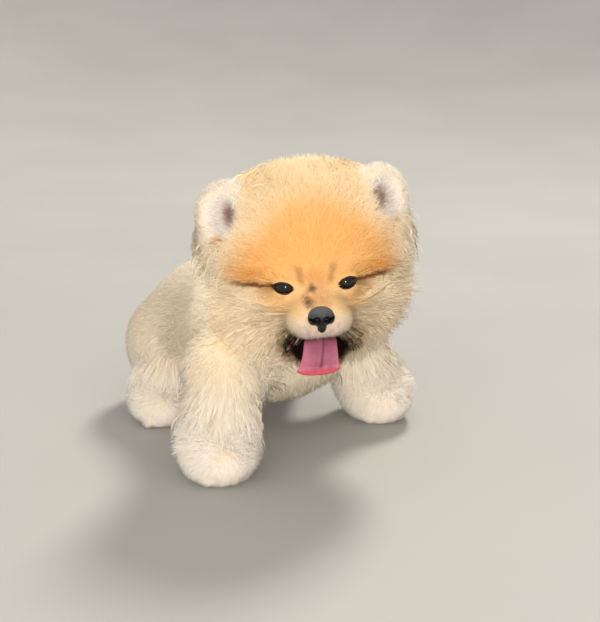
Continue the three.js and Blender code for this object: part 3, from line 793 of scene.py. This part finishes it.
def hairMesh(name, rows, origin, ring):
    roots, out, tips, bow = (grown[k][rows] for k in ("roots", "out", "tips", "bow"))
    count = len(rows)
    half = (grown["thick"][rows] * (0.4 + 0.2 * grown["strand"][rows]))[:, None]
    sideways = unit(np.cross(tips - roots, out + 0.01))
    sideways = unit(sideways + 0.8 * rng.normal(0, 1, sideways.shape))
    t = ring or 0.0
    base = roots - out * hairs["sunk"]
    centre = (1 - t) ** 2 * base + 2 * t * (1 - t) * bow + t * t * tips
    tangent = unit(2 * (1 - t) * (bow - roots) + 2 * t * (tips - bow))
    across = unit(sideways - tangent * np.sum(sideways * tangent, 1, keepdims=True))
    up = np.cross(tangent, across)
    sides = [across * math.cos(a) + up * math.sin(a) for a in (math.pi / 2, math.pi * 7 / 6, -math.pi / 6)]
    verts = [centre + half * side for side in sides]
    verts.append(tips)
    firm = 1.15 if ring else 0.95
    soft = [unit(firm * side + out) for side in sides]  # the coat is lit as one soft form
    soft += [unit(out + tangent), out]
    along = [t, t, t, 1.0]
    corners = [(0, 1, 3), (1, 2, 3), (2, 0, 3)]
    if ring:  # a long hair is a spindle, and a short one a spike
        verts.append(base)
        along.append(0.0)
        corners += [(1, 0, 4), (2, 1, 4), (0, 2, 4)]
    else:
        corners.append((0, 2, 1))
    perHair = len(verts)
    corners = np.array(corners)
    flat = np.stack(verts, 1).reshape(-1, 3)
    flat[:, 2] = np.maximum(flat[:, 2], 0.25)  # nothing under the floor
    faces = (np.arange(count) * perHair)[:, None, None] + corners[None]
    mesh = bpy.data.meshes.new(name)
    mesh.vertices.add(len(flat))
    mesh.vertices.foreach_set("co", flat.astype(np.float32).ravel())
    mesh.loops.add(faces.size)
    mesh.loops.foreach_set("vertex_index", faces.astype(np.int32).ravel())
    mesh.polygons.add(faces.size // 3)
    mesh.polygons.foreach_set("loop_start", np.arange(0, faces.size, 3, dtype=np.int32))
    mesh.update(calc_edges=True)
    normals = np.stack(soft[:perHair], 1).reshape(-1, 3)
    mesh.attributes.new("custom_normal", "FLOAT_VECTOR", "POINT").data.foreach_set(
        "vector", normals.astype(np.float32).ravel())
    for attribute, values in (("along", np.tile(along, count)),
                              ("strand", np.repeat(grown["strand"][rows], perHair))):
        layer = mesh.attributes.new(attribute, "FLOAT", "POINT")
        layer.data.foreach_set("value", values.astype(np.float32))
    patch = np.array([[math.cos(i * 2.4), math.sin(i * 2.4)] for i in range(perHair)]) * 0.0015
    uv = unwrap(roots, origin)[:, None, :] + patch[None]
    layer = mesh.uv_layers.new(name="OFBake")
    layer.data.foreach_set("uv", uv.reshape(-1, 2)[faces.ravel()].astype(np.float32).ravel())
    toPart(mesh)
    return mesh


slots = {"head": "coat_orange", "jaw": "coat_cream", "neck": "coat_cream", "torso": "coat_cream",
         "tail": "coat_cream"}


def makeCoat():
    total = 0
    for index, region in enumerate(regionNames):
        for kind, low, high in (("down", 0, hairs["short"]), ("coat", hairs["short"], hairs["long"]),
                                ("fluff", hairs["long"], hairs["deepest"] * 2)):
            reach = grown["reach"]
            rows = np.flatnonzero((grown["region"] == index) & (reach >= low) & (reach < high))
            if not len(rows):
                continue
            ring = hairs["rings"].get(kind)
            parts = math.ceil(len(rows) * (6 if ring else 4) / hairs["pieceLimit"])
            order = rows[np.argsort(grown["roots"][rows, 0], kind="stable")]
            for i, group in enumerate(np.array_split(order, parts)):
                name = f"coat_{region}_{kind}_{i + 1}"
                mesh = hairMesh(name, group, origins[region], ring)
                finish(name, mesh, coatMaterial, slots.get(region, "coat_pale"))
                total += len(mesh.polygons)
    print("coat", total, "triangles")


makeCoat()
toPart(skinMesh)
finish("skin", skinMesh, skinMaterial, "coat_cream", "head", "lower_jaw", "neck", "torso", "tail", "ear_left",
       "ear_right", *body["paws"])


# eyes: a ball with a raised cornea, dark brown round a wide pupil
eye = {"cornea": 0.6, "iris": 4.9, "pupil": 2.9}


def eyeFrame(s):
    x, y, z = face["eyeAt"]
    return headFrame @ frameAt((s * x, y, z), (s * 10, 0, 0))


def eyePaint(s):
    def paint(place):
        inEye = inFrame(place, eyeFrame(s))
        x, y, z = inEye.parts()
        far = (x * x + z * z).root()
        iris = inEye.noise(1.4, 4.0).ramp(0.3, 0.7).mix(tone(18, 10, 7), tone(38, 21, 13))
        colour = far.ramp(eye["pupil"] - 0.3, eye["pupil"] + 0.3).mix(tone(6, 4, 4), iris)
        colour = far.ramp(eye["iris"] - 0.5, eye["iris"] + 0.2).mix(colour, tone(30, 20, 16))
        colour = far.ramp(eye["iris"] + 0.4, eye["iris"] + 1.2).mix(colour, tone(74, 58, 50))
        return {"Base Color": colour}
    return paint


for side, s in (("left", 1), ("right", -1)):
    bm = bmesh.new()
    bmesh.ops.create_uvsphere(bm, u_segments=48, v_segments=32, radius=face["eyeRadius"])
    bmesh.ops.rotate(bm, verts=bm.verts, matrix=Matrix.Rotation(math.radians(90), 3, "X"))
    for v in bm.verts:
        if v.co.y < 0:
            far = math.hypot(v.co.x, v.co.z)
            v.co.y -= eye["cornea"] * max(0, 1 - (far / (eye["iris"] + 0.6)) ** 2)
    bm.transform(eyeFrame(s))
    mesh = meshOf(bm, "eye")
    toPart(mesh)
    eyeMaterial = material("Eye " + side, {"Roughness": 0.05, "Specular IOR Level": 0.6}, eyePaint(s))
    finish("eyeball_" + side, mesh, eyeMaterial, "eye", "eye_" + side)


# eyelids: a dark bare rim round each almond opening
lids = {"radii": (7.0, 7.15), "wide": (1.0, 1.231), "high": (1.0, 1.42), "thick": 0.9}


def lidRim(s):
    bm = bmesh.new()
    outline = almond(s, face["lidHalf"] * 1.02, 1, 16)
    loops = []
    for radius, wide, high in zip(lids["radii"], lids["wide"], lids["high"]):
        rim = []
        for u, v in outline:
            spot = Vector((u * wide, 0, v * high))
            spot.y = -math.sqrt(max(radius ** 2 - spot.x ** 2 - spot.z ** 2, 0.5))
            rim.append(bm.verts.new(spot))
        loops.append([bm.edges.new((rim[i], rim[(i + 1) % len(rim)])) for i in range(len(rim))])
    bmesh.ops.bridge_loops(bm, edges=loops[0] + loops[1])
    bmesh.ops.recalc_face_normals(bm, faces=bm.faces)
    bm.transform(lidFrame(s))
    return applied(meshOf(bm, "lid"), ("SOLIDIFY", {"thickness": lids["thick"], "offset": 0.0}),
                   ("SUBSURF", {"levels": 2, "render_levels": 2}))


def lidPaint(place):
    fine = place.noise(2600, 3.0, 0.6)
    colour = fine.ramp(0.3, 0.7).mix(tone(22, 14, 11), tone(44, 28, 20))
    return {"Base Color": colour, "Normal": fine.bump(0.3, 0.0003)}


lidMaterial = material("Eyelid rim", {"Roughness": 0.38}, lidPaint)
for side, s in (("left", 1), ("right", -1)):
    mesh = lidRim(s)
    toPart(mesh)
    finish("eyelid_" + side, mesh, lidMaterial, "nose")


# nose: black leather with two comma nostrils and a cleft between them
nose = {"voxel": 0.32, "half": (7, 5.5, 5.4)}


def makeNose():
    at = Vector(face["noseAt"])
    eggs = [egg(headFrame, at, nose["half"]), egg(headFrame, at + Vector((0, 0.5, -4.6)), (2.9, 4.4, 4.6)),
            *pair(headFrame, at + Vector((4.3, -1.2, -0.6)), (2.9, 4.0, 3.6))]
    mesh = applied(ballsMesh("nose", eggs), ("REMESH", {"mode": "VOXEL", "voxel_size": nose["voxel"]}))
    holes = pair(headFrame, at + Vector((3.1, -5.6, -0.9)), (2.1, 3.6, 1.8), (25, 0, 18))
    holes += pair(headFrame, at + Vector((5.4, -3.9, -0.4)), (2.0, 2.4, 0.7), (35, 0, -18))
    holes += [egg(headFrame, at + Vector((0, -6.0, -4.2)), (0.4, 2.6, 5.2))]
    mesh = carve(mesh, ballsMesh("nostrils", holes, 3), 0.25)
    return applied(mesh, ("REMESH", {"mode": "VOXEL", "voxel_size": nose["voxel"]}),
                   ("SMOOTH", {"factor": 0.5, "iterations": 3}))


def nosePaint(place):
    fine = place.noise(5000, 2.0, 0.5)
    height = place.cells(1700.0) * -0.7 + fine * 0.2
    z = inFrame(place, headFrame).parts()[2]
    colour = place.noise(300, 3.0, 0.6).ramp(0.3, 0.75).mix(tone(9, 8, 9), tone(20, 19, 21))
    # the top of the nose is painted light grey: a painted reflection of the sky on the wet leather
    colour = (z.ramp(face["noseAt"][2] - 1, face["noseAt"][2] + 5) * 0.6).mix(colour, tone(112, 114, 118))
    return {"Base Color": colour, "Roughness": 0.28 + fine * 0.12, "Normal": height.bump(0.5, 0.0005)}


noseMesh = makeNose()
toPart(noseMesh)
noseMaterial = material("Nose leather", {"Roughness": 0.36, "Specular IOR Level": 0.45}, nosePaint)
finish("nose_leather", noseMesh, noseMaterial, "nose", "nose")


# tongue: a wet strip with a groove along its middle and a curled lip
tongue = {"length": 40, "width": 24, "groove": 0.9, "cup": 1.3}
tonguePath = [Vector(p) for p in ((0, -22, -34), (0, -40, -32), (-1, -51, -32), (-2, -56, -37),
                                  (-3, -56, -43), (-3.5, -59, -47))]


def pathAt(points, t):
    place = t * (len(points) - 1)
    i = min(int(place), len(points) - 2)
    f = place - i
    p0, p1, p2, p3 = (points[min(max(k, 0), len(points) - 1)] for k in (i - 1, i, i + 1, i + 2))
    return 0.5 * ((2 * p1) + (p2 - p0) * f + (2 * p0 - 5 * p1 + 4 * p2 - p3) * f ** 2
                  + (3 * p1 - p0 - 3 * p2 + p3) * f ** 3)


def makeTongue():
    bm = bmesh.new()
    bmesh.ops.create_grid(bm, x_segments=tongue["width"], y_segments=tongue["length"], size=1)
    layer = bm.verts.layers.float.new("along")
    for v in bm.verts:
        u = v.co.x
        t = (v.co.y + 1) / 2
        v[layer] = t
        way = (pathAt(tonguePath, min(t + 0.01, 1)) - pathAt(tonguePath, max(t - 0.01, 0))).normalized()
        t *= 1 - 0.14 * u * u * t ** 4
        half = 8.6 + 5.0 * t * t * t
        at = pathAt(tonguePath, t)
        rise = Vector((0, -way.z, way.y))
        groove = tongue["groove"] * math.exp(-(u / 0.12) ** 2) * min(1, 2 * (1 - t) + 0.4)
        lift = -tongue["cup"] * (1 - u * u) - groove
        v.co = at + Vector((1, 0, 0)) * u * half + rise * lift
    bm.transform(headFrame)
    return applied(meshOf(bm, "tongue"), ("SOLIDIFY", {"thickness": 2.2, "offset": 0.0}),
                   ("SMOOTH", {"factor": 0.5, "iterations": 4}),
                   ("SUBSURF", {"levels": 1, "render_levels": 1}))


def tonguePaint(place):
    x, y, z = inFrame(place, headFrame).parts()
    axis = x - (z + 32) * 0.22
    along = place.attribute("along")
    groove = (1 - axis.abs().ramp(0.2, 1.1)) * (1 - along.ramp(0.75, 0.92))
    soft = place.noise(260, 3.0, 0.6)
    colour = soft.ramp(0.3, 0.7).mix(tone(160, 82, 104), tone(182, 100, 122))
    colour = ((1 - along.ramp(0.5, 0.85)) * 0.7).mix(colour, tone(138, 70, 90))
    colour = (axis.abs().ramp(4, 11) * 0.5).mix(colour, tone(208, 118, 138))
    colour = (groove * 0.7).mix(colour, tone(96, 40, 58))
    curl = (along - axis * axis * 0.0005).ramp(0.86, 0.92)  # the tip curls down and shows its red underside
    colour = (curl * 0.85).mix(colour, tone(200, 66, 80))
    colour = (y.ramp(-52, -36) * 0.7).mix(colour, tone(150, 60, 66))
    return {"Base Color": colour, "Roughness": 0.34 + soft * 0.15,
            "Normal": (place.cells(1500.0) * -1 + soft * 0.5).bump(0.55, 0.0004)}


tongueMesh = makeTongue()
toPart(tongueMesh)
tongueMaterial = material("Tongue", {"Specular IOR Level": 0.5}, tonguePaint)
finish("tongue_soft", tongueMesh, tongueMaterial, "tongue", "tongue")
print("head parts made")

# floor, light and camera
floor = {"flat": 1.0, "curve": 6.0, "turns": 96, "steps": 24, "bend": 80}


def floorMesh():  # a flat disc whose edge curves up all round
    bm = bmesh.new()
    profile = [(0, 0), (floor["flat"] / 2, 0), (floor["flat"], 0)]
    for i in range(1, floor["steps"] + 1):
        a = math.radians(floor["bend"] * i / floor["steps"])
        profile.append((floor["flat"] + floor["curve"] * math.sin(a), floor["curve"] * (1 - math.cos(a))))
    rim = [bm.verts.new((x, 0, z)) for x, z in profile]
    line = [bm.edges.new(ends) for ends in zip(rim, rim[1:])]
    bmesh.ops.spin(bm, geom=rim + line, cent=(0, 0, 0), axis=(0, 0, 1), angle=math.tau, steps=floor["turns"],
                   use_merge=True)
    bmesh.ops.remove_doubles(bm, verts=bm.verts, dist=1e-5)
    bmesh.ops.recalc_face_normals(bm, faces=bm.faces)
    if sum(f.normal.z for f in bm.faces) < 0:
        bmesh.ops.reverse_faces(bm, faces=bm.faces)
    made = meshOf(bm, "floor")
    made.shade_smooth()
    return made


def floorPaint(place):
    x, y, z = place.parts()
    near = place.noise(3.0, 2.0, 0.5).ramp(0.2, 0.8).mix(tone(166, 164, 160), tone(172, 170, 166))
    return {"Base Color": z.ramp(0.1, 2.5).mix(near, tone(186, 185, 182))}


floorPiece = linked("floor", floorMesh())
floorPiece.data.materials.append(material("Studio floor", {"Roughness": 0.8}, floorPaint))

view = {"at": (-248.4, -451.7, 215), "heading": 30, "pitch": 14.66, "lens": 50, "sensor": 36}
lights = {"sky": (1.0, 0.985, 0.96), "skyStrength": 0.78,
          "sun": {"from": (0.62, 0.5, 0.85), "soft": 14, "power": 2.7, "colour": (1.0, 0.95, 0.86)},
          "fill": {"from": (-0.8, -0.85, 0.5), "soft": 50, "power": 1.3, "colour": (1.0, 0.98, 0.95)},
          "catch": {"from": (-0.293, -0.816, 0.238), "soft": 0.058, "power": 7.5,
                    "colour": (1.0, 0.99, 0.97)}}


def addCamera():
    camera = linked("camera", bpy.data.cameras.new("camera"))
    camera.data.lens = view["lens"]
    camera.data.sensor_width = view["sensor"]
    camera.data.clip_start = 0.01
    camera.location = (Vector(view["at"]) + shift) * mm
    camera.rotation_euler = (math.radians(90 - view["pitch"]), 0, math.radians(-view["heading"]))
    bpy.context.scene.camera = camera


def addLights():
    world = bpy.data.worlds.new("studio")
    world.use_nodes = True
    sky = world.node_tree.nodes["Background"].inputs
    sky["Color"].default_value = (*lights["sky"], 1)
    sky["Strength"].default_value = lights["skyStrength"]
    bpy.context.scene.world = world
    for name in ("sun", "fill", "catch"):  # the catch light is a soft ball of light in front of the eyes
        row = lights[name]
        lamp = bpy.data.lights.new(name, "POINT" if name == "catch" else "SUN")
        lamp.energy = row["power"]
        lamp.color = row["colour"]
        if name == "catch":
            lamp.shadow_soft_size = row["soft"]
        else:
            lamp.angle = math.radians(row["soft"])
        lamp.use_shadow = name == "sun"  # the others reach in between the hairs
        holder = linked(name, lamp)
        holder.visible_glossy = name != "fill"
        holder.location = row["from"]
        holder.rotation_euler = (-Vector(row["from"])).to_track_quat("-Z", "Y").to_euler()


addCamera()
addLights()
bpy.context.scene.view_settings.view_transform = "Standard"
print("stage set")
